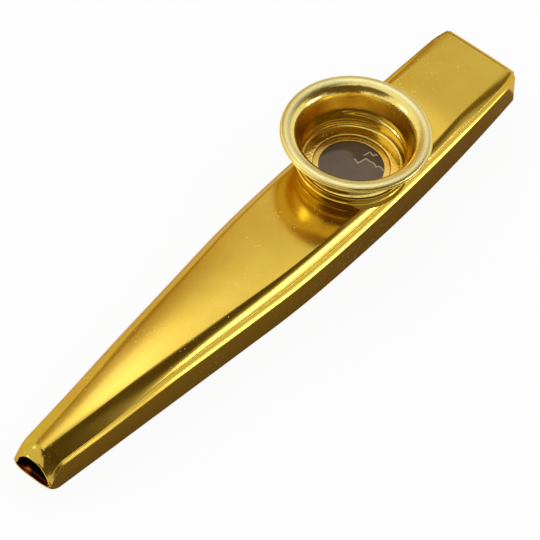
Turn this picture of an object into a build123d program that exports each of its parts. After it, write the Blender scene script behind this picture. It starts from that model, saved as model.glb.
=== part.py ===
from build123d import *
import math
import os

# A sheet-metal kazoo: a tapered tube folded from two shells, with a flared
# screw cap that holds a film over a hole in the top shell.
# X runs along the tube, outlet at -X and mouth at +X; Z is up from the floor
# that the flat bottom rests on; all lengths are in millimetres.

# Tube length and the places along it
body_length = 120.0
funnel_to_mouth = 38.1
taper_run = 30.6
nose_length = 3.2
pinch_length = 5.0
lip_length = 1.2
rise_to_mouth = 80.0
ramp_to_mouth = 38.0
slope_to_outlet = 50.0

# Widths over the folded seams
outlet_width = 8.15
taper_width = 17.2
widest_width = 19.1
mouth_width = 17.4
nose_pull_in = 0.4
pinch_pull_in = 0.8

# The flat panel's width at the outlet, and the rounded shoulder on each side of it further along
outlet_flat = 0.8
taper_shoulder = 2.0
widest_shoulder = 1.1
mouth_shoulder = 0.9
shoulder_pull_in = 0.5

# Heights above the floor
panel_height = 11.4
outlet_drop = 1.6
nose_drop = 2.2
lip_drop = 0.3
seam_height = 7.8
seam_rise = 2.75
nose_seam_drop = 3.2
nose_depth = 1.35
mouth_floor_rise = 3.0

# Corners of the bottom shell, and the depth ground off it to rest flat
corner_radius = 1.7
nose_corner_width = 2.6
nose_corner_height = 0.9
rest_cut = 0.05

# Body sheet, and the seam where the bottom shell folds over the top one
sheet = 0.4
seam_clearance = 0.05
seam_lip = 1.3
end_seam_lip = 0.9
seam_wall_inset = 0.35
flange_grip = 0.1

# Screw cap
rim_above_panel = 9.36
brim_width = 2.3
rim_bead_radius = 0.35
brim_fall = 0.3
brim_turn_width = 0.9
throat_flare = 0.9
throat_depth = 1.5
neck_depth = 4.4
cap_sheet = 0.3
core_radius = 9.4
foot_corner_radius = 0.6
foot_width = 1.75

# Rolled thread, the same helix on the cap and on its collar
thread_pitch = 2.0
thread_bulge = 0.25
thread_foot_gap = 0.05
cap_thread_turns = 1.15
thread_clearance = 0.1
thread_lead_in = 20.0

# Collar on the panel
collar_height = 3.2
collar_sheet = 0.3
collar_floor_width = 0.95
solder_gap = 0.02

# Film and the rings that seat it, stacked on the panel
stack_clearance = 0.35
gasket_width = 2.3
gasket_thickness = 0.1
film_thickness = 0.08
film_ring_width = 2.45
film_ring_thickness = 0.12
washer_width = 1.3
washer_thickness = 0.1
stack_gap = 0.02

# Places worked out from the sizes above
outlet_end = -body_length / 2
mouth_end = body_length / 2
nose_start = outlet_end + nose_length
funnel_x = mouth_end - funnel_to_mouth
taper_end = funnel_x - taper_run
pinch_start = mouth_end - pinch_length
lip_start = mouth_end - lip_length
outlet_shoulder = outlet_width / 2 - seam_lip - seam_clearance - outlet_flat / 2
slot_half = sheet / 2 + seam_clearance
seam_half = slot_half + sheet
rim_top = panel_height + rim_above_panel
gasket_bottom = panel_height + stack_gap
film_bottom = gasket_bottom + gasket_thickness
film_ring_bottom = film_bottom + film_thickness
washer_bottom = film_ring_bottom + film_ring_thickness + stack_gap
foot_bottom = washer_bottom + washer_thickness + stack_gap
foot_top = foot_bottom + cap_sheet
rib_radius = cap_sheet + thread_bulge
thread_start = foot_top + foot_corner_radius + rib_radius + thread_foot_gap
collar_bottom = panel_height + solder_gap
collar_bore = core_radius + thread_clearance
collar_radius = collar_bore + collar_sheet
helix_radius = core_radius - cap_sheet
throat_radius = helix_radius + throat_flare
brim_inner_radius = throat_radius + brim_turn_width
rim_radius = brim_inner_radius + brim_width
foot_edge = helix_radius - foot_corner_radius
foot_bore = foot_edge - foot_width
stack_radius = collar_bore - collar_floor_width - stack_clearance
window_radius = stack_radius - gasket_width
film_ring_bore = stack_radius - film_ring_width
washer_bore = stack_radius - washer_width

arc_middle = math.sqrt(0.5)
curve_pull = 0.5523


# How far x lies along the way from start to end, not below 0
def share(x, start, end):
    return max((x - start) / (end - start), 0.0)


# 1 at the outlet's rim, falling to 0 where the rounded nose begins
def nose(x):
    return share(x, nose_start, outlet_end) ** 2


# 1 at the mouth's edge, falling to 0 where the sides start to draw in
def pinch(x):
    return share(x, pinch_start, mouth_end) ** 2


# 1 at the mouth's edge, falling to 0 where the panel's edge starts to turn down
def edge_turn(x):
    return share(x, lip_start, mouth_end) ** 2


# A straight taper from the outlet, a smooth crest at the funnel, then a slow fall to the mouth
def along(x, outlet, taper, widest, mouth):
    slope = (taper - outlet) / (taper_end - nose_start)
    if x <= taper_end:
        return outlet + slope * max(x - nose_start, 0.0)
    if x <= funnel_x:
        power = abs(slope * taper_run / (widest - taper))
        return widest - (widest - taper) * (1.0 - share(x, taper_end, funnel_x)) ** power
    return widest - (widest - mouth) * share(x, funnel_x, pinch_start) ** 2


def seam_edge(x):
    full = along(x, outlet_width, taper_width, widest_width, mouth_width)
    return full / 2 - nose_pull_in * nose(x) - pinch_pull_in * pinch(x)


def wall_foot(x):
    full = along(x, outlet_width, taper_width, widest_width, mouth_width)
    return full / 2 - nose_pull_in * nose(x) - seam_wall_inset


def shoulder(x):
    plain = along(x, outlet_shoulder, taper_shoulder, widest_shoulder, mouth_shoulder)
    return plain - nose_pull_in * nose(x) - shoulder_pull_in * pinch(x)


def lip_width(x):
    return seam_lip - (seam_lip - end_seam_lip) * (nose(x) + pinch(x))


def seam_level(x):
    rise = seam_rise * share(x, mouth_end - rise_to_mouth, mouth_end) ** 2
    return seam_height + rise - nose_seam_drop * nose(x)


def crown_level(x):
    drop = outlet_drop * share(x, outlet_end + slope_to_outlet, outlet_end) ** 2
    return panel_height - drop - nose_drop * nose(x) - lip_drop * edge_turn(x)


def floor_level(x):
    rise = mouth_floor_rise * share(x, mouth_end - ramp_to_mouth, mouth_end) ** 1.5
    return rise + (seam_height - nose_seam_drop - nose_depth) * nose(x) - rest_cut


def corner_width(x):
    return corner_radius + (nose_corner_width - corner_radius) * nose(x)


def corner_height(x):
    return corner_radius + (nose_corner_height - corner_radius) * nose(x)


# Evenly spaced stations from start to end
def stations(start, end, steps):
    return [start + (end - start) * step / steps for step in range(steps + 1)]


# One section of the bottom shell: floor, corners, walls and the lip folded over the seam
def bottom_section(x):
    edge = seam_edge(x)
    level = seam_level(x)
    base = floor_level(x)
    foot = wall_foot(x)
    wall_top = edge - seam_wall_inset
    bead = edge - seam_half
    fold = edge - lip_width(x)
    bead_drop = math.sqrt(seam_half**2 - (wall_top - bead) ** 2)
    turn = foot - corner_width(x)
    wall_base = base + corner_height(x)
    outer_reach = curve_pull * (foot - turn)
    inner_reach = curve_pull * (foot - sheet - turn)
    outer_pull = (1.0 - curve_pull) * (wall_base - base)
    inner_pull = (1.0 - curve_pull) * (wall_base - base - sheet)
    with BuildSketch(Plane.YZ.offset(x)) as section:
        with BuildLine():
            Line((0, base), (turn, base))
            Bezier((turn, base), (turn + outer_reach, base), (foot, base + outer_pull), (foot, wall_base))
            Line((foot, wall_base), (wall_top, level - bead_drop))
            ThreePointArc((wall_top, level - bead_drop), (edge, level), (bead, level + seam_half))
            Line((bead, level + seam_half), (fold, level + seam_half))
            Line((fold, level + seam_half), (fold, level + slot_half))
            Line((fold, level + slot_half), (bead, level + slot_half))
            ThreePointArc((bead, level + slot_half), (bead + slot_half, level), (bead, level - slot_half))
            Line((bead, level - slot_half), (wall_top - sheet, level - slot_half))
            Line((wall_top - sheet, level - slot_half), (foot - sheet, wall_base))
            Bezier(
                (foot - sheet, wall_base),
                (foot - sheet, base + sheet + inner_pull),
                (turn + inner_reach, base + sheet),
                (turn, base + sheet),
            )
            Line((turn, base + sheet), (0, base + sheet))
            mirror(about=Plane.YZ)
        make_face()
    return section.sketch


# One section of the top shell: flat panel, rounded shoulders and the flange held in the seam
def top_section(x):
    edge = seam_edge(x)
    level = seam_level(x)
    crown = crown_level(x)
    side = edge - lip_width(x) - seam_clearance
    flat = side - shoulder(x)
    tip = edge - seam_half + flange_grip
    upper = level + sheet / 2
    lower = level - sheet / 2
    outer_pull = (1.0 - curve_pull) * (crown - upper)
    inner_pull = (1.0 - curve_pull) * (crown - sheet - lower)
    outer_reach = curve_pull * (side - flat)
    inner_reach = curve_pull * (side - sheet - flat)
    with BuildSketch(Plane.YZ.offset(x)) as section:
        with BuildLine():
            Line((0, crown), (flat, crown))
            Bezier((flat, crown), (flat + outer_reach, crown), (side, crown - outer_pull), (side, upper))
            Line((side, upper), (tip, upper))
            Line((tip, upper), (tip, lower))
            Line((tip, lower), (side - sheet, lower))
            Bezier(
                (side - sheet, lower),
                (side - sheet, crown - sheet - inner_pull),
                (flat + inner_reach, crown - sheet),
                (flat, crown - sheet),
            )
            Line((flat, crown - sheet), (0, crown - sheet))
            mirror(about=Plane.YZ)
        make_face()
    return section.sketch


# A round tube along the thread's helix
def thread_tube(tube_radius, start_level, turns, start_angle):
    path_plane = Plane(origin=(funnel_x, 0, start_level)).rotated((0, 0, start_angle))
    with BuildPart() as tube:
        with BuildLine(path_plane) as path:
            Helix(pitch=thread_pitch, height=thread_pitch * turns, radius=helix_radius)
        with BuildSketch(Plane(origin=path.line @ 0, z_dir=path.line % 0)):
            Circle(tube_radius)
        sweep(path=path.line, is_frenet=True)
    return tube.part


funnel_axis = Axis((funnel_x, 0, 0), (0, 0, 1))
funnel_section = Plane(origin=(funnel_x, 0, 0), x_dir=(1, 0, 0), z_dir=(0, -1, 0))

# Stretches of the two shells, each lofted on its own
stretches = [
    stations(outlet_end, nose_start, 4),
    stations(nose_start, taper_end, 4),
    stations(taper_end, funnel_x, 3),
    stations(funnel_x, pinch_start, 3),
    stations(pinch_start, lip_start, 3),
    stations(lip_start, mouth_end, 2),
]

# Tubes that make the rolled thread
groove_radius = rib_radius + thread_clearance
groove_start = thread_start - thread_pitch * thread_lead_in / 360
groove_turns = cap_thread_turns + thread_lead_in / 180
cap_rib = thread_tube(rib_radius, thread_start, cap_thread_turns, 0)
cap_hollow = thread_tube(thread_bulge, thread_start, cap_thread_turns, 0)
collar_groove = thread_tube(groove_radius, groove_start, groove_turns, -thread_lead_in)
collar_rib = thread_tube(groove_radius + collar_sheet, groove_start, groove_turns, -thread_lead_in)

# Bottom shell
with BuildPart() as bottom_shell:
    for stretch in stretches:
        loft([bottom_section(place) for place in stretch])
    split(bisect_by=Plane.XY, keep=Keep.TOP)

# Top shell, with the window under the film
with BuildPart() as top_shell:
    for stretch in stretches:
        loft([top_section(place) for place in stretch])
    with BuildSketch(Plane(origin=(funnel_x, 0, panel_height - 2 * sheet))):
        Circle(window_radius)
    extrude(amount=4 * sheet, mode=Mode.SUBTRACT)

# Collar: a thin threaded ring with a narrow floor soldered to the panel
with BuildPart() as threaded_collar:
    with BuildSketch(Plane(origin=(funnel_x, 0, collar_bottom))):
        Circle(collar_radius)
    extrude(amount=collar_height)
    add(collar_rib)
    with BuildSketch(Plane(origin=(funnel_x, 0, collar_bottom))):
        Circle(2 * collar_radius)
    extrude(amount=collar_height, mode=Mode.INTERSECT)
    with BuildSketch(Plane(origin=(funnel_x, 0, collar_bottom + collar_sheet))):
        Circle(collar_bore)
    extrude(amount=collar_height, mode=Mode.SUBTRACT)
    with BuildSketch(Plane(origin=(funnel_x, 0, collar_bottom))):
        Circle(collar_bore - collar_floor_width)
    extrude(amount=collar_sheet, mode=Mode.SUBTRACT)
    add(collar_groove, mode=Mode.SUBTRACT)

# Film and the rings that seat it
with BuildPart() as seat_gasket:
    with BuildSketch(Plane(origin=(funnel_x, 0, gasket_bottom))):
        Circle(stack_radius)
        Circle(window_radius, mode=Mode.SUBTRACT)
    extrude(amount=gasket_thickness)

with BuildPart() as membrane_film:
    with BuildSketch(Plane(origin=(funnel_x, 0, film_bottom))):
        Circle(stack_radius)
    extrude(amount=film_thickness)

with BuildPart() as membrane_ring:
    with BuildSketch(Plane(origin=(funnel_x, 0, film_ring_bottom))):
        Circle(stack_radius)
        Circle(film_ring_bore, mode=Mode.SUBTRACT)
    extrude(amount=film_ring_thickness)

with BuildPart() as slip_washer:
    with BuildSketch(Plane(origin=(funnel_x, 0, washer_bottom))):
        Circle(stack_radius)
        Circle(washer_bore, mode=Mode.SUBTRACT)
    extrude(amount=washer_thickness)

# Screw cap: brim with a rolled edge, throat, threaded neck and an inward foot
with BuildPart() as screw_cap:
    bead_middle = rim_radius - rim_bead_radius
    bead_root = rim_radius - 2 * rim_bead_radius
    bead_level = rim_top - rim_bead_radius
    bead_foot = rim_top - 2 * rim_bead_radius
    brim_top = rim_top - brim_fall
    throat_top = rim_top - throat_depth
    neck_top = rim_top - neck_depth
    turn_level = foot_top + foot_corner_radius
    outer_corner = foot_corner_radius + cap_sheet
    with BuildSketch(funnel_section):
        with BuildLine():
            Line((0, foot_bottom), (foot_edge, foot_bottom))
            ThreePointArc(
                (foot_edge, foot_bottom),
                (foot_edge + outer_corner * arc_middle, turn_level - outer_corner * arc_middle),
                (core_radius, turn_level),
            )
            Line((core_radius, turn_level), (core_radius, neck_top))
            Line((core_radius, neck_top), (throat_radius + cap_sheet, throat_top))
            Bezier(
                (throat_radius + cap_sheet, throat_top),
                (throat_radius + 2 * cap_sheet, brim_top - 1.5 * cap_sheet),
                (brim_inner_radius + cap_sheet / 2, brim_top - cap_sheet),
            )
            Line((brim_inner_radius + cap_sheet / 2, brim_top - cap_sheet), (bead_root, bead_level))
            ThreePointArc(
                (bead_root, bead_level),
                (bead_middle - rim_bead_radius * arc_middle, bead_level - rim_bead_radius * arc_middle),
                (bead_middle, bead_foot),
            )
            ThreePointArc((bead_middle, bead_foot), (rim_radius, bead_level), (bead_middle, rim_top))
            Line((bead_middle, rim_top), (0, rim_top))
            Line((0, rim_top), (0, foot_bottom))
        make_face()
    revolve(axis=funnel_axis)
    add(cap_rib)
    with BuildSketch(funnel_section):
        with BuildLine():
            Line((0, rim_top + cap_sheet), (bead_middle, rim_top + cap_sheet))
            Line((bead_middle, rim_top + cap_sheet), (bead_middle, rim_top))
            Line((bead_middle, rim_top), (brim_inner_radius, brim_top))
            Bezier(
                (brim_inner_radius, brim_top),
                (throat_radius + cap_sheet, brim_top - cap_sheet / 2),
                (throat_radius, throat_top),
            )
            Line((throat_radius, throat_top), (helix_radius, neck_top))
            Line((helix_radius, neck_top), (helix_radius, turn_level))
            ThreePointArc(
                (helix_radius, turn_level),
                (foot_edge + foot_corner_radius * arc_middle, turn_level - foot_corner_radius * arc_middle),
                (foot_edge, foot_top),
            )
            Line((foot_edge, foot_top), (foot_bore, foot_top))
            Line((foot_bore, foot_top), (foot_bore, foot_bottom - cap_sheet))
            Line((foot_bore, foot_bottom - cap_sheet), (0, foot_bottom - cap_sheet))
            Line((0, foot_bottom - cap_sheet), (0, rim_top + cap_sheet))
        make_face()
    revolve(axis=funnel_axis, mode=Mode.SUBTRACT)
    add(cap_hollow, mode=Mode.SUBTRACT)

os.makedirs("parts", exist_ok=True)

bottom_shell.part.label = "bottom_shell"
export_step(bottom_shell.part, "parts/bottom_shell.step")
top_shell.part.label = "top_shell"
export_step(top_shell.part, "parts/top_shell.step")
threaded_collar.part.label = "threaded_collar"
export_step(threaded_collar.part, "parts/threaded_collar.step")
seat_gasket.part.label = "seat_gasket"
export_step(seat_gasket.part, "parts/seat_gasket.step")
membrane_film.part.label = "membrane_film"
export_step(membrane_film.part, "parts/membrane_film.step")
membrane_ring.part.label = "membrane_ring"
export_step(membrane_ring.part, "parts/membrane_ring.step")
slip_washer.part.label = "slip_washer"
export_step(slip_washer.part, "parts/slip_washer.step")
screw_cap.part.label = "screw_cap"
export_step(screw_cap.part, "parts/screw_cap.step")
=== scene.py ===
import bpy
import bmesh
import math
import numpy as np
from mathutils import Matrix, Quaternion, Vector


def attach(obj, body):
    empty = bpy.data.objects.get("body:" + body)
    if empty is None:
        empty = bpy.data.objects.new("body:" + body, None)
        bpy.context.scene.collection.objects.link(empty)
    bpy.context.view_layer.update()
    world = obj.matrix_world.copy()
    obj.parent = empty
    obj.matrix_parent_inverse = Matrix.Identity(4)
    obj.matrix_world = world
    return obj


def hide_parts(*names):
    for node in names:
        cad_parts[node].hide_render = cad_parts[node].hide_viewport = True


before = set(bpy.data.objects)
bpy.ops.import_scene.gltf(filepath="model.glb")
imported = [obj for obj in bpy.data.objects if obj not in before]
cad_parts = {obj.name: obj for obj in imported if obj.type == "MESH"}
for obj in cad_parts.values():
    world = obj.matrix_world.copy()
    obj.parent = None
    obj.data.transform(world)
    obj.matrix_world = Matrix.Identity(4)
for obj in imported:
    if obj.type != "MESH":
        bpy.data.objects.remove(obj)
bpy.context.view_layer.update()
print("kazoo: frame loaded, nodes", sorted(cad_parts))

mm = 0.001  # the pieces' sizes are in millimetres, the scene and the studio's sizes in metres
scene = bpy.context.scene


# Small helpers for shapes

def share(x, start, end):
    # how far x lies along the way from start to end, not below 0
    return max((x - start) / (end - start), 0.0)


def smoothShare(x, start, end):
    # the same up to 1, with a soft start and a soft end
    part = min(share(x, start, end), 1.0)
    return part * part * (3.0 - 2.0 * part)


def bezier(p0, p1, p2, p3, count):
    t = np.linspace(0.0, 1.0, count, endpoint=False)[:, None]
    p0, p1, p2, p3 = (np.array(p, float) for p in (p0, p1, p2, p3))
    return (1 - t) ** 3 * p0 + 3 * (1 - t) ** 2 * t * p1 + 3 * (1 - t) * t**2 * p2 + t**3 * p3


def straight(p0, p1, count):
    t = np.linspace(0.0, 1.0, count, endpoint=False)[:, None]
    return (1 - t) * np.array(p0, float) + t * np.array(p1, float)


def arc(center, radius, start, end, count):
    angle = np.radians(np.linspace(start, end, count, endpoint=False))
    return np.stack([center[0] + radius * np.cos(angle), center[1] + radius * np.sin(angle)], 1)


def smoothCurve(points, perSpan):
    # Catmull-Rom through the points, with the ends carried on straight
    pts = np.array(points, float)
    pts = np.vstack([2 * pts[0] - pts[1], pts, 2 * pts[-1] - pts[-2]])
    t = np.linspace(0.0, 1.0, perSpan, endpoint=False)[:, None]
    out = []
    for i in range(1, len(pts) - 2):
        a, b, c, d = pts[i - 1:i + 3]
        bend = 2 * a - 5 * b + 4 * c - d
        twist = 3 * b - a - 3 * c + d
        out.append(0.5 * (2 * b + (c - a) * t + bend * t**2 + twist * t**3))
    out.append(pts[-2][None, :])
    return np.vstack(out)


def lineNormals(line):
    # right-hand normals and tangents of a 2D polyline
    tangent = np.gradient(line, axis=0)
    length = np.maximum(np.linalg.norm(tangent, axis=1, keepdims=True), 1e-9)
    tangent = tangent / length
    return np.stack([tangent[:, 1], -tangent[:, 0]], 1), tangent


def meshPiece(name, verts, faces, body, nodes):
    mesh = bpy.data.meshes.new(name)
    mesh.from_pydata([tuple(v) for v in verts], [], faces)
    work = bmesh.new()
    work.from_mesh(mesh)
    bmesh.ops.recalc_face_normals(work, faces=work.faces)
    work.to_mesh(mesh)
    work.free()
    mesh.polygons.foreach_set("use_smooth", [True] * len(mesh.polygons))
    mesh.update()
    piece = bpy.data.objects.new(name, mesh)
    scene.collection.objects.link(piece)
    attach(piece, body)
    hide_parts(*nodes)
    return piece


def pointAttribute(piece, name, values):
    layer = piece.data.attributes.new(name, "FLOAT", "POINT")
    layer.data.foreach_set("value", np.asarray(values, np.float32))


# The tube's form, shared by both shells

tube = {
    "length": 120.0, "funnelToMouth": 38.1, "taperRun": 30.6, "noseLength": 3.2, "pinchLength": 5.0,
    "outletWidth": 8.15, "taperWidth": 17.2, "widestWidth": 19.1, "mouthWidth": 17.4,
    "nosePullIn": -0.3, "pinchPullIn": 0.8,
    "panelHeight": 11.4, "outletDrop": 1.6, "slopeToOutlet": 50.0,
    "noseDrop": 2.1, "curlLength": 1.8, "curlPower": 1.6,
    "mouthRise": 0.7, "mouthRiseFrom": 32.0, "mouthRiseTo": 45.0, "lipDrop": 1.0, "lipLength": 1.4,
    "seamHeight": 7.8, "seamRise": 2.75, "riseToMouth": 80.0, "noseSeamDrop": 3.2,
    "noseDepth": 1.35, "mouthFloorRise": 3.0, "rampToMouth": 38.0, "rampPower": 1.5,
    "sheet": 0.3, "seamGap": 0.05,
}

outletEnd = -tube["length"] / 2
mouthEnd = tube["length"] / 2
noseStart = outletEnd + tube["noseLength"]
funnelX = mouthEnd - tube["funnelToMouth"]
taperEnd = funnelX - tube["taperRun"]
pinchStart = mouthEnd - tube["pinchLength"]
lipStart = mouthEnd - tube["lipLength"]


def nose(x):
    # 1 at the outlet's rim, falling to 0 where the rounded nose begins
    return share(x, noseStart, outletEnd) ** 2


def pinch(x):
    # 1 at the mouth's edge, falling to 0 where the sides start to draw in
    return share(x, pinchStart, mouthEnd) ** 2


def along(x, outlet, taper, widest, mouth):
    # a straight taper from the outlet, a smooth crest at the funnel, then a slow change to the mouth
    slope = (taper - outlet) / (taperEnd - noseStart)
    if x <= taperEnd:
        return outlet + slope * (x - noseStart)
    if x <= funnelX:
        power = abs(slope * tube["taperRun"] / (widest - taper))
        return widest - (widest - taper) * (1.0 - share(x, taperEnd, funnelX)) ** power
    return widest - (widest - mouth) * share(x, funnelX, pinchStart) ** 2


def fullWidth(x):
    return along(x, tube["outletWidth"], tube["taperWidth"], tube["widestWidth"], tube["mouthWidth"])


def seamEdge(x):
    return fullWidth(x) / 2 - tube["nosePullIn"] * nose(x) - tube["pinchPullIn"] * pinch(x)


def seamLevel(x):
    rise = tube["seamRise"] * share(x, mouthEnd - tube["riseToMouth"], mouthEnd) ** 2
    return tube["seamHeight"] + rise - tube["noseSeamDrop"] * nose(x)


def crownLevel(x):
    drop = tube["outletDrop"] * share(x, outletEnd + tube["slopeToOutlet"], outletEnd) ** 2
    lift = tube["mouthRise"] * smoothShare(x, tube["mouthRiseFrom"], tube["mouthRiseTo"])
    turned = tube["lipDrop"] * share(x, lipStart, mouthEnd) ** 2
    curl = tube["noseDrop"] * share(x, outletEnd + tube["curlLength"], outletEnd) ** tube["curlPower"]
    return tube["panelHeight"] + lift - drop - curl - turned


def floorLevel(x):
    rise = tube["mouthFloorRise"] * share(x, mouthEnd - tube["rampToMouth"], mouthEnd) ** tube["rampPower"]
    return rise + (tube["seamHeight"] - tube["noseSeamDrop"] - tube["noseDepth"]) * nose(x)


# The bottom shell, with the lip that folds over the seam

bottom = {
    "cornerRadius": 1.7, "noseCornerWidth": 2.6, "noseCornerHeight": 0.9, "wallInset": 0.3,
    "cornerReach": 0.55, "cornerPull": 0.45,
    "flatFrom": -30.0, "flatTo": -50.0,
    "lip": 0.78, "outletLip": 0.38, "mouthLip": 0.62, "narrowFrom": 19.6, "narrowTo": 5.6,
    "hemRise": 1.5, "outletHemRise": 0.1, "belowPanel": 0.12,
    "hemFall": 1.5, "outletHemFall": 0.56, "wallShare": 0.75, "leastWall": 0.02,
    "hemTilt": 66.0, "outletHemTilt": 52.0, "beadTilt": 50.0,
    "beadIn": 0.16, "beadUp": 0.24, "edgePull": 0.13, "beadPull": 0.08, "lipPull": 0.3,
}


def towardOutlet(x, plain, outlet):
    # the folded lip changes near the outlet, where it lies flatter
    return plain + (outlet - plain) * smoothShare(x, bottom["flatFrom"], bottom["flatTo"])


def lipWidth(x):
    # the folded lip narrows towards both ends of the tube
    toMouth = smoothShare(x, mouthEnd - bottom["narrowFrom"], mouthEnd - bottom["narrowTo"])
    plain = towardOutlet(x, bottom["lip"], bottom["outletLip"])
    return plain + (bottom["mouthLip"] - bottom["lip"]) * toMouth


def hemTop(x):
    # height of the folded lip's inner edge, kept below the panel at the two ends
    rise = towardOutlet(x, bottom["hemRise"], bottom["outletHemRise"])
    return min(seamLevel(x) + rise, crownLevel(x) - bottom["belowPanel"])


def climb(degrees):
    # a step towards the tube's middle and up, at this angle
    return np.array((-math.cos(math.radians(degrees)), math.sin(math.radians(degrees))))


def bottomLine(x):
    # half outline of the bottom shell, from the middle of its floor to the edge of its folded lip
    edge, base = seamEdge(x), floorLevel(x)
    foot = fullWidth(x) / 2 - tube["nosePullIn"] * nose(x) - bottom["wallInset"]
    wide = bottom["cornerRadius"] + (bottom["noseCornerWidth"] - bottom["cornerRadius"]) * nose(x)
    high = bottom["cornerRadius"] + (bottom["noseCornerHeight"] - bottom["cornerRadius"]) * nose(x)
    turn, wallBase = foot - wide, base + high
    tip = np.array((edge - lipWidth(x), hemTop(x)))
    fullFall = towardOutlet(x, bottom["hemFall"], bottom["outletHemFall"])
    fall = min(fullFall, bottom["wallShare"] * max(tip[1] - wallBase, bottom["leastWall"]))
    low = tip[1] - fall
    bead = np.array((edge - bottom["beadIn"] * lipWidth(x), low + bottom["beadUp"] * fall))
    beadStep = fall * climb(bottom["beadTilt"])
    tipStep = fall * climb(towardOutlet(x, bottom["hemTilt"], bottom["outletHemTilt"]))
    return np.vstack([
        straight((0, base), (turn, base), 8),
        bezier((turn, base), (turn + bottom["cornerReach"] * wide, base),
               (foot, base + bottom["cornerPull"] * high), (foot, wallBase), 14),
        straight((foot, wallBase), (edge, low), 12),
        bezier((edge, low), (edge, low + bottom["edgePull"] * fall),
               bead - bottom["beadPull"] * beadStep, bead, 14),
        bezier(bead, bead + bottom["lipPull"] * beadStep, tip - bottom["lipPull"] * tipStep, tip, 18),
        [tip],
    ])


# The top shell, with the flange held in the seam

top = {
    "outletShoulder": 2.85, "taperShoulder": 1.8, "widestShoulder": 1.55, "mouthShoulder": 2.1,
    "noseShoulderPullIn": 0.4, "shoulderPullIn": 0.5, "leastFlat": 0.25,
    "tilt": 62.0, "outletTilt": 34.0, "outletTiltFrom": -24.0, "mouthTilt": 46.0, "mouthTiltFrom": 20.0,
    "noseTilt": 34.0,
    "mouthCrown": 0.03, "taperCrown": 0.24, "crownFrom": 10.0, "crownTo": -12.0,
    "crownShare": 0.055, "outletCrownShare": 0.035, "roundFrom": -38.0, "roundTo": -56.0,
    "seamStep": -0.1, "outletSeamStep": 0.12, "leastCorner": 0.3, "panelPull": 0.62, "shoulderPull": 0.6,
    "tuckIn": 0.1, "tuckDrop": 0.45, "flangeShort": 0.5, "flangeDrop": 0.75,
}


def shoulderWidth(x):
    plain = along(x, top["outletShoulder"], top["taperShoulder"], top["widestShoulder"], top["mouthShoulder"])
    return plain - top["noseShoulderPullIn"] * nose(x) - top["shoulderPullIn"] * pinch(x)


def shoulderTilt(x):
    # how steep the panel's shoulder is where it meets the folded lip
    toOutlet = (top["outletTilt"] - top["tilt"]) * share(x, top["outletTiltFrom"], outletEnd)
    toMouth = (top["mouthTilt"] - top["tilt"]) * share(x, top["mouthTiltFrom"], mouthEnd)
    return top["tilt"] + toOutlet + toMouth + top["noseTilt"] * nose(x)


def topLine(x):
    # half outline of the top shell, from the middle of the panel to the tip of the flange in the seam
    edge, crown = seamEdge(x), crownLevel(x)
    side = edge - lipWidth(x) - tube["seamGap"]
    flat = max(side - shoulderWidth(x), top["leastFlat"])
    seam = hemTop(x) + towardOutlet(x, top["seamStep"], top["outletSeamStep"])
    toTaper = min(share(x, top["crownFrom"], top["crownTo"]), 1.0)
    toOutlet = min(share(x, top["roundFrom"], top["roundTo"]), 1.0)
    rounded = top["crownShare"] + top["outletCrownShare"] * toOutlet
    sag = min(top["mouthCrown"] + top["taperCrown"] * toTaper, rounded * flat)
    lean = 2.0 * sag / flat
    low = crown - sag
    drop = low - seam
    steep = math.tan(math.radians(shoulderTilt(x)))
    corner = max(side - flat - drop / steep, top["leastCorner"] * (side - flat))
    reach, pull = top["panelPull"] * corner, top["shoulderPull"] * drop
    tuck = (side + top["tuckIn"], seam - top["tuckDrop"])
    tip = (edge - top["flangeShort"], seam - top["flangeDrop"])
    return np.vstack([
        [[flat * s, crown - sag * s * s] for s in np.linspace(0, 1, 16, endpoint=False)],
        bezier((flat, low), (flat + reach, low - reach * lean),
               (side - pull / steep, seam + pull), (side, seam), 36),
        straight((side, seam), tuck, 3),
        straight(tuck, tip, 4),
        [tip],
    ])


# Both shells, folded from sheet

def sheetLoop(half, outward, thick):
    # closed loop round a folded sheet: outer side, rounded edge, inner side, rounded edge
    full = np.vstack([half[:0:-1] * [-1, 1], half])
    normal, tangent = lineNormals(full)
    normal = normal * outward
    inner = full - thick * normal
    middle = full - 0.5 * thick * normal
    turns = np.radians(np.linspace(0, 180, 7))[1:-1, None]
    endTurn = middle[-1] + 0.5 * thick * (np.cos(turns) * normal[-1] + np.sin(turns) * tangent[-1])
    startTurn = middle[0] - 0.5 * thick * (np.cos(turns) * normal[0] + np.sin(turns) * tangent[0])
    loop = np.vstack([full, endTurn, inner[::-1], startTurn])
    spine = np.vstack([middle, [middle[-1]] * len(turns), middle[::-1], [middle[0]] * len(turns)])
    return loop, spine, len(full), len(turns)


def tubeStations():
    # places along the tube, close together at the rounded nose and at the mouth
    spans = [(outletEnd, noseStart, 26), (noseStart, taperEnd, 60), (taperEnd, funnelX, 40),
             (funnelX, pinchStart, 40), (pinchStart, lipStart, 16), (lipStart, mouthEnd, 10)]
    places = [np.linspace(a, b, n, endpoint=False) for a, b, n in spans]
    return np.concatenate(places + [[mouthEnd]])


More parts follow.
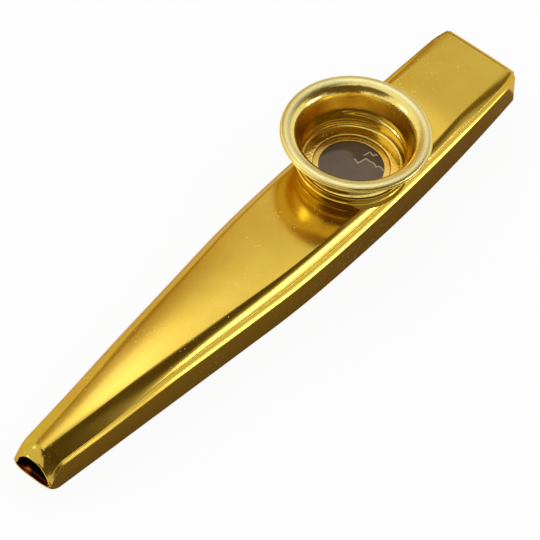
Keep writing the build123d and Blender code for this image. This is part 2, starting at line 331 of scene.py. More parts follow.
def foldedShell(name, lineOf, outward, cadNode):
    # sheet loops joined along the tube, with the sheet's ends rounded at the outlet and at the mouth
    half = 0.5 * tube["sheet"]
    rounding = np.radians([84.0, 60.0, 40.0, 20.0])
    first, last = outletEnd + half, mouthEnd - half
    between = [(x, 1.0, x) for x in tubeStations() if first < x < last]
    start = [(first, math.cos(a), first - half * math.sin(a)) for a in rounding]
    end = [(last, math.cos(a), last + half * math.sin(a)) for a in rounding[::-1]]
    rings = []
    for place, keep, at in start + between + end:
        loop, spine, count, turnCount = sheetLoop(lineOf(place), outward, tube["sheet"])
        loop = spine + keep * (loop - spine)
        rings.append(np.column_stack([np.full(len(loop), at), loop]))
    size = len(rings[0])
    verts = np.vstack(rings) * mm
    faces = []
    for r in range(len(rings) - 1):
        for i in range(size):
            j = (i + 1) % size
            faces.append((r * size + i, r * size + j, (r + 1) * size + j, (r + 1) * size + i))
    for base in (0, (len(rings) - 1) * size):
        inner = base + count + turnCount
        for i in range(count - 1):
            faces.append((base + i, base + i + 1, inner + count - 2 - i, inner + count - 1 - i))
        faces.append([base + count - 1 + k for k in range(turnCount + 2)])
        faces.append([inner + count - 1 + k for k in range(turnCount + 1)] + [base])
    return meshPiece(name, verts, faces, "tube", [cadNode])


bottomShell = foldedShell("bottomShellSkin", bottomLine, 1.0, "bottom_shell")
topShell = foldedShell("topShellSkin", topLine, -1.0, "top_shell")
print("kazoo: tube folded,", len(bottomShell.data.polygons), "and", len(topShell.data.polygons), "faces")

window = {"radius": 5.9, "depth": 3.0, "segments": 96}


def cutWindow(piece):
    # the round hole in the panel, under the film
    cutter = bpy.data.objects.new("windowCutter", bpy.data.meshes.new("windowCutter"))
    work = bmesh.new()
    bmesh.ops.create_cone(work, cap_ends=True, segments=window["segments"], radius1=window["radius"] * mm,
                          radius2=window["radius"] * mm, depth=window["depth"] * mm)
    bmesh.ops.translate(work, verts=work.verts, vec=(funnelX * mm, 0, tube["panelHeight"] * mm))
    work.to_mesh(cutter.data)
    work.free()
    scene.collection.objects.link(cutter)
    cut = piece.modifiers.new("window", "BOOLEAN")
    cut.operation = "DIFFERENCE"
    cut.object = cutter
    graph = bpy.context.evaluated_depsgraph_get()
    old = piece.data
    piece.data = bpy.data.meshes.new_from_object(piece.evaluated_get(graph))
    piece.data.name = old.name + "Cut"
    piece.modifiers.clear()
    bpy.data.meshes.remove(old)
    bpy.data.objects.remove(cutter)


cutWindow(topShell)
print("kazoo: window cut")


# The screw cap and its collar

thread = {
    "pitch": 2.0, "start": 13.0, "turns": 1.15, "fade": 0.06, "rampIn": 0.4,
    "bulge": 0.18, "innerBulge": 0.36, "width": 0.62,
    "groove": 0.12, "grooveWidth": 0.78, "grooveLead": 0.08, "grooveTail": 0.1,
}


def threadBump(angle, level, wide, firstTurn, lastTurn):
    # height of the rolled thread at an angle and a level, fading in and out at its two ends
    total = np.zeros(np.broadcast(angle, level).shape)
    for turn in range(-1, 3):
        run = angle / (2 * math.pi) + turn
        fadeIn = np.clip((run - firstTurn) / thread["fade"], 0, 1)
        fadeOut = np.clip((lastTurn - run) / thread["fade"], 0, 1)
        away = (level - (thread["start"] + thread["pitch"] * run)) / wide
        ridge = np.where(np.abs(away) < 1, np.cos(away * math.pi / 2) ** 2, 0)
        total = np.maximum(total, fadeIn * fadeOut * ridge)
    return total


def spinAngles(segments):
    # angles about the cap's axis, one row each
    return np.linspace(0, 2 * math.pi, segments, endpoint=False)[:, None]


def spunPiece(name, profile, pushed, body, cadNode, segments):
    # a closed outline spun about the cap's axis, with its points pushed outward where the thread is
    angle = spinAngles(segments)
    radius = profile[None, :, 0] + np.broadcast_to(pushed, (segments, len(profile)))
    level = np.broadcast_to(profile[None, :, 1], radius.shape)
    verts = np.stack([funnelX + radius * np.cos(angle), radius * np.sin(angle), level], 2)
    size = len(profile)
    faces = []
    for s in range(segments):
        n = (s + 1) % segments
        for i in range(size):
            j = (i + 1) % size
            faces.append((s * size + i, s * size + j, n * size + j, n * size + i))
    return meshPiece(name, verts.reshape(-1, 3) * mm, faces, body, [cadNode])


# The flare, the roll and the underside are given as radius and depth below the rim's top
cap = {
    "rimTop": 20.76, "neckInner": 9.1, "neckOuter": 9.4, "neckTop": 16.36, "sheet": 0.3, "segments": 256,
    "footBottom": 11.86, "footTop": 12.16, "footBore": 6.75, "footCorner": 0.6, "footLip": 0.15,
    # the satin brim, as radii: rougher, and painted paler as a sheen, a painted highlight
    "satinSheenFrom": 10.9, "satinSheenRun": 0.6, "satinSheenTo": 13.05, "satinSheenFade": 0.2,
    "flare": [(9.3, 3.7), (9.62, 2.7), (9.95, 1.75), (10.28, 1.08), (10.75, 0.52), (11.35, 0.16),
              (12.0, 0.01), (12.55, 0.03), (12.92, 0.16), (13.08, 0.36)],
    "roll": [(13.08, 0.36), (13.05, 0.46), (12.92, 0.53), (12.97, 0.61), (13.14, 0.68), (13.2, 0.8),
             (13.17, 0.93), (13.06, 1.03), (12.88, 1.06), (12.7, 0.99), (12.58, 0.84)],
    "underside": [(12.58, 0.84), (12.42, 0.5), (12.15, 0.3), (11.55, 0.4), (10.95, 0.72), (10.5, 1.25),
                  (10.2, 1.9), (9.88, 2.8), (9.58, 3.75)],
}


def belowRim(points):
    return [(radius, cap["rimTop"] - depth) for radius, depth in points]


def satinPaintedSheenShare(radius):
    # 1 on the satin brim, which is also painted paler as a sheen, a painted highlight; fading out towards the
    # throat and before the rolled edge
    fromThroat = np.clip((radius - cap["satinSheenFrom"]) / cap["satinSheenRun"], 0, 1)
    return fromThroat * np.clip((cap["satinSheenTo"] - radius) / cap["satinSheenFade"], 0, 1)


def capProfile():
    # the outline from the foot's bore up the inside, over the rim and down the outside
    inner, outer, neckTop = cap["neckInner"], cap["neckOuter"], cap["neckTop"]
    foot = inner - cap["footCorner"]
    turn = cap["footTop"] + cap["footCorner"]
    bore = cap["footBore"] + cap["footLip"]
    lines = {
        "boreEdge": arc((bore, cap["footTop"] - cap["footLip"]), cap["footLip"], 270, 90, 9),
        "footTop": straight((bore, cap["footTop"]), (foot, cap["footTop"]), 8),
        "innerCorner": arc((foot, turn), cap["footCorner"], -90, 0, 10),
        "neckInside": straight((inner, turn), (inner, neckTop), 64),
        "flare": smoothCurve([(inner, neckTop)] + belowRim(cap["flare"]), 7)[:-1],
        "roll": smoothCurve(belowRim(cap["roll"]), 5)[:-1],
        "underside": smoothCurve(belowRim(cap["underside"]) + [(outer, neckTop)], 7)[:-1],
        "neckOutside": straight((outer, neckTop), (outer, turn), 64),
        "outerCorner": arc((foot, turn), cap["footCorner"] + cap["sheet"], 0, -90, 12),
        "footBottom": straight((foot, cap["footBottom"]), (bore, cap["footBottom"]), 8),
    }
    bulges = {"neckInside": thread["innerBulge"], "neckOutside": thread["bulge"]}
    weights = [bulges.get(part, 0.0) * np.clip((line[:, 1] - turn) / thread["rampIn"], 0, 1)
               for part, line in lines.items()]
    # the brim's mask, for its satin roughness and for its painted sheen
    satinPaintedSheen = [float(part == "flare") * satinPaintedSheenShare(line[:, 0]) for part, line in lines.items()]
    return np.vstack(list(lines.values())), np.concatenate(weights), np.concatenate(satinPaintedSheen)


capOutline, capWeights, capSatinPaintedSheen = capProfile()
capThread = threadBump(spinAngles(cap["segments"]), capOutline[None, :, 1], thread["width"],
                       0.0, thread["turns"])
screwCap = spunPiece("screwCapSkin", capOutline, capWeights * capThread, "cap", "screw_cap",
                     cap["segments"])
pointAttribute(screwCap, "satinPaintedSheenMask", np.tile(capSatinPaintedSheen, cap["segments"]))
print("kazoo: cap spun,", len(screwCap.data.polygons), "faces")

# The outside is given as radius and height above the collar's bottom
collar = {
    "bottom": 11.42, "top": 14.3, "bore": 9.52, "floorBore": 8.55, "floorTop": 11.72, "floorCorner": 0.05,
    "footRadius": 9.78, "rimMiddle": 9.76, "rimRound": 0.12, "segments": 240,
    "outside": [(9.76, 0.03), (9.9, 0.12), (9.97, 0.5), (9.98, 1.0), (9.95, 1.5), (9.86, 1.7), (9.79, 1.8),
                (9.78, 2.05), (9.79, 2.35), (9.84, 2.48), (9.89, 2.6)],
}


def collarProfile():
    low, rimRound, rimMiddle = collar["bottom"], collar["rimRound"], collar["rimMiddle"]
    bore, floorBore, floorTop = collar["bore"], collar["floorBore"], collar["floorTop"]
    rimLevel = collar["top"] - rimRound
    points = [(radius, low + height) for radius, height in collar["outside"]]
    outside = smoothCurve(points + [(rimMiddle + rimRound, rimLevel)], 6)[:-1]
    rim = arc((rimMiddle, rimLevel), rimRound, 0, 180, 8)
    wall = straight((bore + rimRound, rimLevel), (bore, floorTop + collar["floorCorner"]), 60)
    floor = straight((bore, floorTop), (floorBore, floorTop), 5)
    under = straight((floorBore, low), (collar["footRadius"], low), 8)
    before = len(outside) + len(rim)
    outline = np.vstack([outside, rim, wall, floor, [(floorBore, floorTop)], under])
    weights = np.zeros(len(outline))
    weights[before:before + len(wall)] = thread["groove"]
    return outline, weights


collarOutline, collarWeights = collarProfile()
collarThread = threadBump(spinAngles(collar["segments"]), collarOutline[None, :, 1], thread["grooveWidth"],
                          -thread["grooveLead"], thread["turns"] + thread["grooveTail"])
threadedCollar = spunPiece("threadedCollarSkin", collarOutline, collarWeights * collarThread, "tube",
                           "threaded_collar", collar["segments"])
print("kazoo: collar spun,", len(threadedCollar.data.polygons), "faces")


# The film, its bright ring and the two flat rings that stay as they are

film = {
    "radius": 8.2, "bottom": 11.52, "thick": 0.06, "rings": 112, "segments": 260,
    "freeRadius": 5.6, "freeFade": 1.2, "sag": 0.03, "ripple": 0.012,
    "creaseRise": 0.05, "creaseWidth": 0.1, "creaseTo": 5.75, "creaseFade": 0.15, "shadeBlur": 0.5,
    "longCrease": [(1.73, 0.58), (1.36, -0.41), (2.03, -0.57), (3.16, -0.79), (3.1, -1.81), (3.24, -2.26),
                   (3.17, -2.73), (2.83, -3.28), (3.17, -3.47), (3.36, -3.83), (3.27, -4.23), (2.98, -4.9)],
    "shortCrease": [(3.54, -0.07), (4.07, -0.21), (4.67, -0.29), (4.8, -0.55), (4.52, -1.1), (4.55, -1.34),
                    (4.94, -1.33), (5.1, -1.7)],
    # outline of the darker patch, painted shade from the cap's wall, with the long crease as part of its edge
    "shadeEdge": [(-2.1, 5.6), (-1.82, 5.13), (-0.66, 4.95), (0.7, 4.37), (1.62, 3.7), (2.18, 3.03),
                  (2.49, 2.16), (2.21, 1.32)],
    "shadeFar": [(4.0, -8.0), (9.0, -8.0), (9.0, 9.0), (-1.5, 9.0)],
}


def insideOutline(px, py, points):
    # even-odd test of many places against a closed outline
    inside = np.zeros(px.shape, bool)
    for (ax, ay), (bx, by) in zip(points, points[1:] + points[:1]):
        spans = (ay > py) != (by > py)
        inside ^= spans & (px < ax + (bx - ax) * (py - ay) / (by - ay if by != ay else 1.0))
    return inside


def lineDistance(px, py, points):
    # distance of many places from the nearest stretch of an open line
    best = np.full(px.shape, np.inf)
    for (ax, ay), (bx, by) in zip(points[:-1], points[1:]):
        ux, uy = bx - ax, by - ay
        t = np.clip(((px - ax) * ux + (py - ay) * uy) / (ux * ux + uy * uy), 0, 1)
        best = np.minimum(best, np.hypot(px - ax - t * ux, py - ay - t * uy))
    return best


def filmPiece():
    # a thin disc, slack in the middle, with raised creases where it has wrinkled
    seg = film["segments"]
    radius = np.linspace(0, 1, film["rings"])[1:] * film["radius"]
    angle = spinAngles(seg)[:, 0]
    px = np.concatenate([[0.0], (radius[:, None] * np.cos(angle)).ravel()])
    py = np.concatenate([[0.0], (radius[:, None] * np.sin(angle)).ravel()])
    out = np.hypot(px, py)
    free = np.clip((film["freeRadius"] - out) / film["freeFade"], 0, 1)
    near = np.minimum(lineDistance(px, py, film["longCrease"]), lineDistance(px, py, film["shortCrease"]))
    crease = np.exp(-((near / film["creaseWidth"]) ** 2))
    crease = crease * np.clip((film["creaseTo"] - out) / film["creaseFade"], 0, 1)
    # the darker patch beyond the long crease is painted shade from the cap's wall
    border = film["shadeEdge"] + film["longCrease"]
    side = np.where(insideOutline(px, py, border + film["shadeFar"]), 1.0, -1.0)
    paintedShade = np.clip(0.5 + side * lineDistance(px, py, border) / film["shadeBlur"], 0, 1)
    ripple = film["ripple"] * np.sin(1.9 * px + 0.7 * py) * np.sin(1.1 * py - 0.8 * px + 0.6)
    sag = film["sag"] * (1 - (out / film["freeRadius"]) ** 2)
    level = film["bottom"] + film["thick"] + free * (ripple - sag) + film["creaseRise"] * crease
    count = len(px)
    upper = np.column_stack([funnelX + px, py, level])
    lower = np.column_stack([funnelX + px, py, level - film["thick"]])
    faces = []
    for sheetStart, flip in ((0, 1), (count, -1)):
        for s in range(seg):
            faces.append((sheetStart, sheetStart + 1 + s, sheetStart + 1 + (s + 1) % seg)[::flip])
        for r in range(len(radius) - 1):
            a, b = sheetStart + 1 + r * seg, sheetStart + 1 + (r + 1) * seg
            for s in range(seg):
                n = (s + 1) % seg
                faces.append((a + s, b + s, b + n, a + n)[::flip])
    edge = 1 + (len(radius) - 1) * seg
    for s in range(seg):
        n = (s + 1) % seg
        faces.append((edge + s, count + edge + s, count + edge + n, edge + n))
    verts = np.vstack([upper, lower]) * mm
    piece = meshPiece("membraneFilmSkin", verts, faces, "tube", ["membrane_film"])
    pointAttribute(piece, "creaseMask", np.concatenate([crease, crease]))
    pointAttribute(piece, "paintedShadeMask", np.concatenate([paintedShade, paintedShade]))
    return piece


membraneFilm = filmPiece()
print("kazoo: film laid,", len(membraneFilm.data.polygons), "faces")

filmRing = {"bore": 5.75, "outer": 8.2, "bottom": 11.6, "top": 11.72, "segments": 180}


def ringProfile():
    # flat under the cap's foot, with a rolled inner edge
    low, high, outer = filmRing["bottom"], filmRing["top"], filmRing["outer"]
    half = 0.5 * (high - low)
    middle = filmRing["bore"] + half
    return np.vstack([
        straight((middle, low), (outer, low), 6),
        straight((outer, low), (outer, high), 2),
        straight((outer, high), (middle, high), 12),
        arc((middle, low + half), half, 90, 270, 12),
    ])


membraneRing = spunPiece("membraneRingSkin", ringProfile(), 0.0, "tube", "membrane_ring",
                         filmRing["segments"])
print("kazoo: ring spun,", len(membraneRing.data.polygons), "faces")

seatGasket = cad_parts["seat_gasket"]
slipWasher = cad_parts["slip_washer"]


# Shared finishes as node groups

def socketed(name, inputs, output):
    group = bpy.data.node_groups.new(name, "ShaderNodeTree")
    for label, value in inputs.items():
        entry = group.interface.new_socket(name=label, in_out="INPUT", socket_type="NodeSocketFloat")
        entry.default_value = value
    group.interface.new_socket(name=output, in_out="OUTPUT", socket_type="NodeSocketFloat")
    return group, group.nodes.new("NodeGroupInput"), group.nodes.new("NodeGroupOutput")


def node(tree, kind, **settings):
    made = tree.nodes.new(kind)
    for key, value in settings.items():
        setattr(made, key, value)
    return made


def feed(tree, socket, value):
    # a plain value is set, an output is linked
    if isinstance(value, (list, tuple, float, int)):
        socket.default_value = value
    else:
        tree.links.new(value, socket)


def mathNode(tree, operation, *values, clamp=False):
    made = node(tree, "ShaderNodeMath", operation=operation, use_clamp=clamp)
    for index, value in enumerate(values):
        feed(tree, made.inputs[index], value)
    return made.outputs[0]


def smoothRamp(tree, value, low, high):
    # 0 at low and 1 at high, with soft ends
    made = node(tree, "ShaderNodeMapRange", interpolation_type="SMOOTHSTEP")
    made.inputs["From Min"].default_value = low
    made.inputs["From Max"].default_value = high
    tree.links.new(value, made.inputs["Value"])
    return made.outputs["Result"]


def scaled(tree, value, low, high):
    # low where the value is 0, high where it is 1
    made = node(tree, "ShaderNodeMapRange")
    made.inputs["To Min"].default_value = low
    made.inputs["To Max"].default_value = high
    tree.links.new(value, made.inputs["Value"])
    return made.outputs["Result"]


def noise(tree, scale, **inputs):
    # cloudy noise fixed to the piece
    place = node(tree, "ShaderNodeTexCoord")
    made = node(tree, "ShaderNodeTexNoise")
    tree.links.new(place.outputs["Object"], made.inputs["Vector"])
    feed(tree, made.inputs["Scale"], scale)
    for label, value in inputs.items():
        made.inputs[label].default_value = value
    return made.outputs["Fac"]


dust = {"patchScale": 90.0, "patchFrom": 0.5, "patchTo": 0.62}


def dustSpecks():
    # tiny bright flecks scattered in patches
    group, start, end = socketed("dustSpecks", {"Scale": 900.0, "Size": 0.16, "Rarity": 0.9}, "Mask")
    place = node(group, "ShaderNodeTexCoord")
    cells = node(group, "ShaderNodeTexVoronoi", feature="F1")
    group.links.new(place.outputs["Object"], cells.inputs["Vector"])
    group.links.new(start.outputs["Scale"], cells.inputs["Scale"])
    shade = node(group, "ShaderNodeSeparateColor")
    group.links.new(cells.outputs["Color"], shade.inputs["Color"])
    small = mathNode(group, "LESS_THAN", cells.outputs["Distance"], start.outputs["Size"])
    chosen = mathNode(group, "GREATER_THAN", shade.outputs["Red"], start.outputs["Rarity"])
    cloud = noise(group, dust["patchScale"], Detail=2.0)
    patch = smoothRamp(group, cloud, dust["patchFrom"], dust["patchTo"])
    both = mathNode(group, "MULTIPLY", small, chosen)
    group.links.new(mathNode(group, "MULTIPLY", both, patch), end.inputs["Mask"])
    return group


sheetWave = {"slowScale": 55.0, "fineScale": 2600.0}


def sheetWaves():
    # slow unevenness of pressed sheet, with a fine rubbed grain on top
    group, start, end = socketed("sheetWaves", {"Slow": 0.6, "Fine": 0.1}, "Height")
    slow = noise(group, sheetWave["slowScale"], Detail=1.0)
    fine = noise(group, sheetWave["fineScale"], Detail=3.0)
    slow = mathNode(group, "MULTIPLY", slow, start.outputs["Slow"])
    fine = mathNode(group, "MULTIPLY", fine, start.outputs["Fine"])
    group.links.new(mathNode(group, "ADD", slow, fine), end.inputs["Height"])
    return group


toneCloud = {"from": 0.3, "to": 0.7}


def toneDrift():
    # cloudy change of tone, 0 to 1
    group, start, end = socketed("toneDrift", {"Scale": 120.0}, "Drift")
    cloud = noise(group, start.outputs["Scale"], Detail=4.0, Roughness=0.6)
    group.links.new(smoothRamp(group, cloud, toneCloud["from"], toneCloud["to"]), end.inputs["Drift"])
    return group


specksGroup, wavesGroup, driftGroup = dustSpecks(), sheetWaves(), toneDrift()


def linear(colour):
    # a colour given as 0 to 255 on screen, as the shaders take it
    out = []
    for value in colour:
        v = value / 255.0
        out.append(v / 12.92 if v <= 0.04045 else ((v + 0.055) / 1.055) ** 2.4)
    return out + [1.0]


def mixColour(tree, factor, first, second):
    made = node(tree, "ShaderNodeMix", data_type="RGBA")
    for index, value in ((0, factor), (6, first), (7, second)):  # the sockets for colours
        feed(tree, made.inputs[index], value)
    return made.outputs[2]


def placed(tree, group, output, **values):
    made = node(tree, "ShaderNodeGroup", node_tree=group)
    for label, value in values.items():
        made.inputs[label].default_value = value
    return made.outputs[output]


def attributeMask(tree, name):
    return node(tree, "ShaderNodeAttribute", attribute_name=name).outputs["Fac"]


def newMaterial(name):
    material = bpy.data.materials.new(name)
    material.use_nodes = True
    return material, material.node_tree, material.node_tree.nodes["Principled BSDF"]


def wavySurface(tree, shader, look):
    bump = node(tree, "ShaderNodeBump")
    bump.inputs["Distance"].default_value = look["bumpDepth"] * mm
    height = placed(tree, wavesGroup, "Height", Slow=look["slow"], Fine=look["fine"])
    tree.links.new(height, bump.inputs["Height"])
    tree.links.new(bump.outputs["Normal"], shader.inputs["Normal"])


lacquer = {"speckRough": 0.4, "coatRough": 0.08}


def goldFinish(name, look):
    # lacquered gold sheet: tone drift, dust flecks, slow waves and fine grain, and where the look has a satin
    # brim, a paler painted sheen on it
    material, tree, shader = newMaterial(name)
    drift = placed(tree, driftGroup, "Drift", Scale=look["driftScale"])
    specks = placed(tree, specksGroup, "Mask", Scale=look["speckScale"], Size=look["speckSize"],
                    Rarity=look["speckRarity"])
    colour = mixColour(tree, drift, linear(look["deep"]), linear(look["bright"]))
    colour = mixColour(tree, specks, colour, linear(look["speck"]))
    dusty = mathNode(tree, "MULTIPLY", specks, lacquer["speckRough"])
    # the satin brim is rougher, and its paler colour is a painted sheen, a painted highlight
    if "satinPaintedSheen" in look:
        satinPaintedSheen = attributeMask(tree, "satinPaintedSheenMask")
        colour = mixColour(tree, satinPaintedSheen, colour, linear(look["satinPaintedSheen"]))
        dusty = mathNode(tree, "ADD", dusty, mathNode(tree, "MULTIPLY", satinPaintedSheen, look["satinRough"]))
    tree.links.new(colour, shader.inputs["Base Color"])
    rough = scaled(tree, drift, look["roughLow"], look["roughHigh"])
    tree.links.new(mathNode(tree, "ADD", rough, dusty, clamp=True), shader.inputs["Roughness"])
    shader.inputs["Metallic"].default_value = 1.0
    shader.inputs["Specular Tint"].default_value = linear(look["edge"])
    shader.inputs["Coat Weight"].default_value = look["coat"]
    shader.inputs["Coat Roughness"].default_value = lacquer["coatRough"]
    wavySurface(tree, shader, look)
    return material


bodyLook = {
    "deep": (202, 167, 57), "bright": (208, 174, 65), "speck": (255, 240, 170), "edge": (236, 196, 96),
    "driftScale": 140.0, "speckScale": 2200.0, "speckSize": 0.22, "speckRarity": 0.8,
    "slow": 1.0, "fine": 0.02, "bumpDepth": 0.05, "roughLow": 0.17, "roughHigh": 0.2, "coat": 0.25,
}
capLook = {
    "deep": (240, 212, 108), "bright": (246, 220, 124), "speck": (255, 248, 205), "edge": (240, 206, 120),
    # the satin colour is the brim's paler painted sheen
    "satinPaintedSheen": (234, 222, 154), "satinRough": 0.17,
    "driftScale": 200.0, "speckScale": 3200.0, "speckSize": 0.25, "speckRarity": 0.85,
    "slow": 0.2, "fine": 1.0, "bumpDepth": 0.03, "roughLow": 0.13, "roughHigh": 0.18, "coat": 0.06,
}
collarLook = {
    "deep": (220, 178, 58), "bright": (232, 196, 78), "speck": (255, 240, 170), "edge": (236, 196, 96),
    "driftScale": 200.0, "speckScale": 2400.0, "speckSize": 0.2, "speckRarity": 0.86,
    "slow": 0.4, "fine": 0.03, "bumpDepth": 0.03, "roughLow": 0.08, "roughHigh": 0.12, "coat": 0.08,
}
ringLook = {
    "deep": (222, 186, 84), "bright": (240, 212, 122), "speck": (255, 250, 215), "edge": (240, 206, 120),
    "driftScale": 400.0, "speckScale": 3600.0, "speckSize": 0.3, "speckRarity": 0.9,
    "slow": 0.5, "fine": 0.2, "bumpDepth": 0.03, "roughLow": 0.2, "roughHigh": 0.3, "coat": 0.06,
}
filmLook = {
    # the stain colours are painted shade from the cap's wall on the film
    "pale": (118, 100, 78), "mottled": (104, 87, 66), "paintedShade": (88, 66, 28), "paintedShadeDeep": (66, 48, 18),
    "crease": (222, 204, 160), "driftScale": 260.0, "roughLow": 0.3, "roughHigh": 0.48,
    "slow": 0.6, "fine": 0.2, "bumpDepth": 0.05,
}
waxedLook = {
    "deep": (168, 148, 112), "bright": (196, 180, 146), "driftScale": 900.0, "rough": 0.6,
    "slow": 0.2, "fine": 1.0, "bumpDepth": 0.02,
}


def filmFinish(name, look):
    # dull grey-brown film with a darker patch of painted shade from the cap's wall and pale creases
    material, tree, shader = newMaterial(name)
    drift = placed(tree, driftGroup, "Drift", Scale=look["driftScale"])
    plain = mixColour(tree, drift, linear(look["mottled"]), linear(look["pale"]))
    deep = mixColour(tree, drift, linear(look["paintedShadeDeep"]), linear(look["paintedShade"]))
    colour = mixColour(tree, attributeMask(tree, "paintedShadeMask"), plain, deep)
    colour = mixColour(tree, attributeMask(tree, "creaseMask"), colour, linear(look["crease"]))
    tree.links.new(colour, shader.inputs["Base Color"])
    tree.links.new(scaled(tree, drift, look["roughLow"], look["roughHigh"]), shader.inputs["Roughness"])
    wavySurface(tree, shader, look)
    return material


def waxedFinish(name, look):
    # waxed card for the two hidden flat rings
    material, tree, shader = newMaterial(name)
    drift = placed(tree, driftGroup, "Drift", Scale=look["driftScale"])
    colour = mixColour(tree, drift, linear(look["deep"]), linear(look["bright"]))
    tree.links.new(colour, shader.inputs["Base Color"])
    shader.inputs["Roughness"].default_value = look["rough"]
    wavySurface(tree, shader, look)
    return material


bodyGold = goldFinish("bodyGoldLacquer", bodyLook)
capGold = goldFinish("capSatinGoldPaintedSheen", capLook)
collarGold = goldFinish("collarGlossGold", collarLook)
ringGold = goldFinish("ringFleckedGold", ringLook)
waxedCard = waxedFinish("waxedCard", waxedLook)
wrinkledFilm = filmFinish("wrinkledFilm", filmLook)
for piece, finish in ((bottomShell, bodyGold), (topShell, bodyGold), (screwCap, capGold),
                      (threadedCollar, collarGold), (membraneRing, ringGold), (membraneFilm, wrinkledFilm),
                      (seatGasket, waxedCard), (slipWasher, waxedCard)):
    piece.data.materials.clear()
    piece.data.materials.append(finish)
print("kazoo: finishes placed")


# Floor, light and camera

studio = {
    "floorSize": 6.0, "floorDrop": 0.00002, "floorTone": 0.92, "floorRough": 0.9, "floorSpecular": 0.1,
    "floorWhite": 0.92, "worldLevel": 0.85, "lampColour": (0.96, 1.0, 1.2),
    # the last value lifts the dark sheet of painted floor shade
    "cardTint": (1.3, 0.88, 0.3), "cardRough": 0.9, "shadeSheetLift": 0.00005,
}
# The dark sheet on the floor, painted shade beside the tube's near wall that is seen only in reflections, in
# millimetres: how far it reaches under the tube and past its two ends
shadeSheet = {"under": 1.6, "pastOutlet": 4.0, "pastMouth": 6.0, "steps": 40}


def seenRays(tree):
    # 1 for what the camera sees, also by reflection and through glass
    path = node(tree, "ShaderNodeLightPath")
    first = mathNode(tree, "MAXIMUM", path.outputs["Is Camera Ray"], path.outputs["Is Glossy Ray"])
    return mathNode(tree, "MAXIMUM", first, path.outputs["Is Transmission Ray"])


def studioFloor():
    mesh = bpy.data.meshes.new("studioFloor")
    half = studio["floorSize"] / 2
    corners = [(-half, -half, 0), (half, -half, 0), (half, half, 0), (-half, half, 0)]
    mesh.from_pydata(corners, [], [(0, 1, 2, 3)])
    floor = bpy.data.objects.new("studioFloor", mesh)
    floor.location.z = -studio["floorDrop"]
    scene.collection.objects.link(floor)
    material, tree, shader = newMaterial("paleFloor")
    tone = studio["floorTone"]
    shader.inputs["Base Color"].default_value = (tone, tone, tone, 1)
    shader.inputs["Roughness"].default_value = studio["floorRough"]
    shader.inputs["Specular IOR Level"].default_value = studio["floorSpecular"]
    glow = node(tree, "ShaderNodeEmission")
    glow.inputs["Color"].default_value = (1, 1, 1, 1)
    blend = node(tree, "ShaderNodeMixShader")
    tree.links.new(mathNode(tree, "MULTIPLY", seenRays(tree), studio["floorWhite"]), blend.inputs[0])
    tree.links.new(shader.outputs[0], blend.inputs[1])
    tree.links.new(glow.outputs[0], blend.inputs[2])
    tree.links.new(blend.outputs[0], tree.nodes["Material Output"].inputs["Surface"])
    mesh.materials.append(material)


def studioWorld():
    world = bpy.data.worlds.new("paleStudio")
    scene.world = world
    world.use_nodes = True
    tree = world.node_tree
    plain = tree.nodes["Background"]
    plain.inputs["Color"].default_value = (1, 1, 1, 1)
    tree.links.new(scaled(tree, seenRays(tree), studio["worldLevel"], 1.0), plain.inputs["Strength"])


def toward(azimuth, elevation, distance):
    # place in a direction from the object: azimuth from +X towards +Y
    a, e = math.radians(azimuth), math.radians(elevation)
    across = distance * math.cos(e)
    return (across * math.cos(a), across * math.sin(a), distance * math.sin(e))


def facing(place, roll):
    # turned to face the object, with its width along rising azimuth and its height along rising elevation
    turn = (-Vector(place)).to_track_quat("-Z", "Y")
    return (turn @ Quaternion((0, 0, 1), math.radians(roll))).to_euler()


def softLamp(name, place, width, height, level, roll=0.0):
    data = bpy.data.lights.new(name, "AREA")
    data.color = studio["lampColour"]
    data.shape = "RECTANGLE"
    data.size = width
    data.size_y = height
    data.energy = level * math.pi * width * height
    lamp = bpy.data.objects.new(name, data)
    lamp.location = place
    lamp.rotation_euler = facing(place, roll)
    scene.collection.objects.link(lamp)


def reflectedCard(name, verts, faces, colour):
    # a matt card seen only in reflections
    mesh = bpy.data.meshes.new(name)
    mesh.from_pydata(verts, [], faces)
    card = bpy.data.objects.new(name, mesh)
    scene.collection.objects.link(card)
    material, tree, shader = newMaterial(name)
    shader.inputs["Base Color"].default_value = (*colour, 1)
    shader.inputs["Roughness"].default_value = studio["cardRough"]
    mesh.materials.append(material)
    card.visible_camera = False
    card.visible_diffuse = False
    card.visible_shadow = False
    return card


def darkCard(name, place, width, height, tone, roll=0.0, soft=0.3):
    # warm dark card beside the object, fading out at its edges
    w, h = width / (2 - soft), height / (2 - soft)
    colour = [tint * tone for tint in studio["cardTint"]]
    card = reflectedCard(name, [(-w, -h, 0), (w, -h, 0), (w, h, 0), (-w, h, 0)], [(0, 1, 2, 3)], colour)
    card.location = place
    card.rotation_euler = facing(place, roll)
    tree = card.data.materials[0].node_tree
    corner = node(tree, "ShaderNodeTexCoord")
    split = node(tree, "ShaderNodeSeparateXYZ")
    tree.links.new(corner.outputs["Generated"], split.inputs[0])
    fades = []
    for axis in ("X", "Y"):
        away = mathNode(tree, "ABSOLUTE", mathNode(tree, "SUBTRACT", split.outputs[axis], 0.5))
        fades.append(smoothRamp(tree, away, 0.5, 0.5 - soft / 2))
    tree.links.new(mathNode(tree, "MULTIPLY", *fades), tree.nodes["Principled BSDF"].inputs["Alpha"])


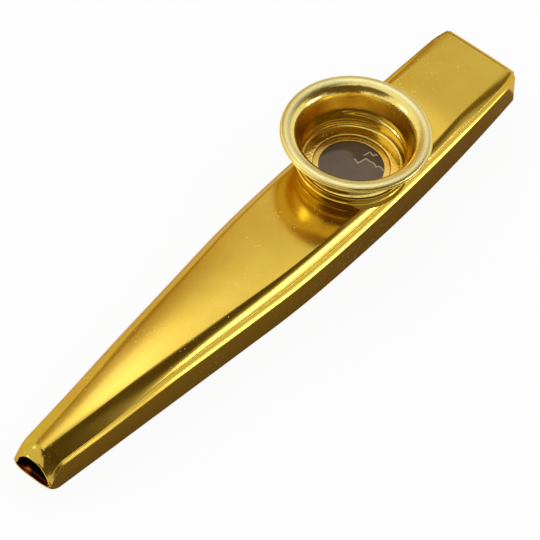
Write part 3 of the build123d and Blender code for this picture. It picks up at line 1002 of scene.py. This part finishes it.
def floorShadeSheet(name, side, reach, colour):
    # dark sheet lying on the floor along one wall of the tube, seen only in reflections: painted shade of the
    # floor beside the wall
    places = np.linspace(outletEnd - shadeSheet["pastOutlet"], mouthEnd + shadeSheet["pastMouth"], shadeSheet["steps"])
    inner = [(x, side * (fullWidth(x) / 2 - shadeSheet["under"])) for x in places]
    outer = [(x, y + side * reach) for x, y in inner]
    verts = [(x * mm, y * mm, studio["shadeSheetLift"]) for x, y in inner + outer]
    count = len(inner)
    reflectedCard(name, verts, [(i, i + 1, count + i + 1, count + i) for i in range(count - 1)], colour)


# The target is in millimetres, the distance in metres
camera = {
    "azimuth": -56.31, "elevation": 50.57, "roll": 7.49, "target": (1.756, 0.5235, 0.626), "distance": 0.5537,
    "sensor": 36.0, "lens": 213.92, "clipStart": 0.05, "clipEnd": 20.0,
}


def studioCamera():
    azimuth, elevation, roll = (math.radians(camera[angle]) for angle in ("azimuth", "elevation", "roll"))
    back = Vector((math.sin(azimuth) * math.cos(elevation), -math.cos(azimuth) * math.cos(elevation),
                   math.sin(elevation)))
    level = Vector((math.cos(azimuth), math.sin(azimuth), 0))
    above = back.cross(level)
    right = math.cos(roll) * level + math.sin(roll) * above
    up = math.cos(roll) * above - math.sin(roll) * level
    data = bpy.data.cameras.new("photoCamera")
    data.sensor_width = camera["sensor"]
    data.lens = camera["lens"]
    data.clip_start = camera["clipStart"]
    data.clip_end = camera["clipEnd"]
    made = bpy.data.objects.new("photoCamera", data)
    turn = Matrix((right, up, back)).transposed().to_4x4()
    made.matrix_world = Matrix.Translation(Vector(camera["target"]) * mm + back * camera["distance"]) @ turn
    scene.collection.objects.link(made)
    scene.camera = made


studioFloor()
studioWorld()
softLamp("keyLamp", toward(41, 60.5, 0.9), width=0.09, height=0.3, level=1.4, roll=38.0)
softLamp("wideLamp", toward(39, 57.5, 0.95), width=0.2, height=0.46, level=0.54, roll=38.0)
softLamp("lowLamp", toward(-61, 8, 0.9), width=0.3, height=0.16, level=7.0)
darkCard("sideCard", toward(-60, 47, 0.7), width=0.44, height=0.86, tone=0.085, roll=-27.0, soft=0.6)
darkCard("overheadCard", toward(-14, 48, 0.7), width=0.45, height=0.25, tone=0.2, soft=0.6)
darkCard("leftCard", toward(61, 29, 0.8), width=0.56, height=0.74, tone=0.48, soft=0.7)
darkCard("cameraCard", toward(-146, 46, 0.75), width=1.1, height=0.68, tone=0.1)
darkCard("noseCard", toward(-110, 36, 0.76), width=0.68, height=0.78, tone=0.07)
darkCard("lowCard", toward(-124, 11, 0.75), width=0.56, height=0.42, tone=0.1)
darkCard("mouthCard", toward(25, 25, 0.8), width=0.24, height=0.28, tone=0.18)
softLamp("backLamp", toward(137, 20, 0.9), width=0.16, height=0.16, level=6.0)
# painted shade on the floor beside the near wall, seen only in the wall's reflection
floorShadeSheet("nearFloorShadeCard", side=-1.0, reach=26.0, colour=(0.32, 0.29, 0.3))
studioCamera()
scene.view_settings.view_transform = "Standard"
print("kazoo: floor, lamps and camera set")

print("kazoo: done")
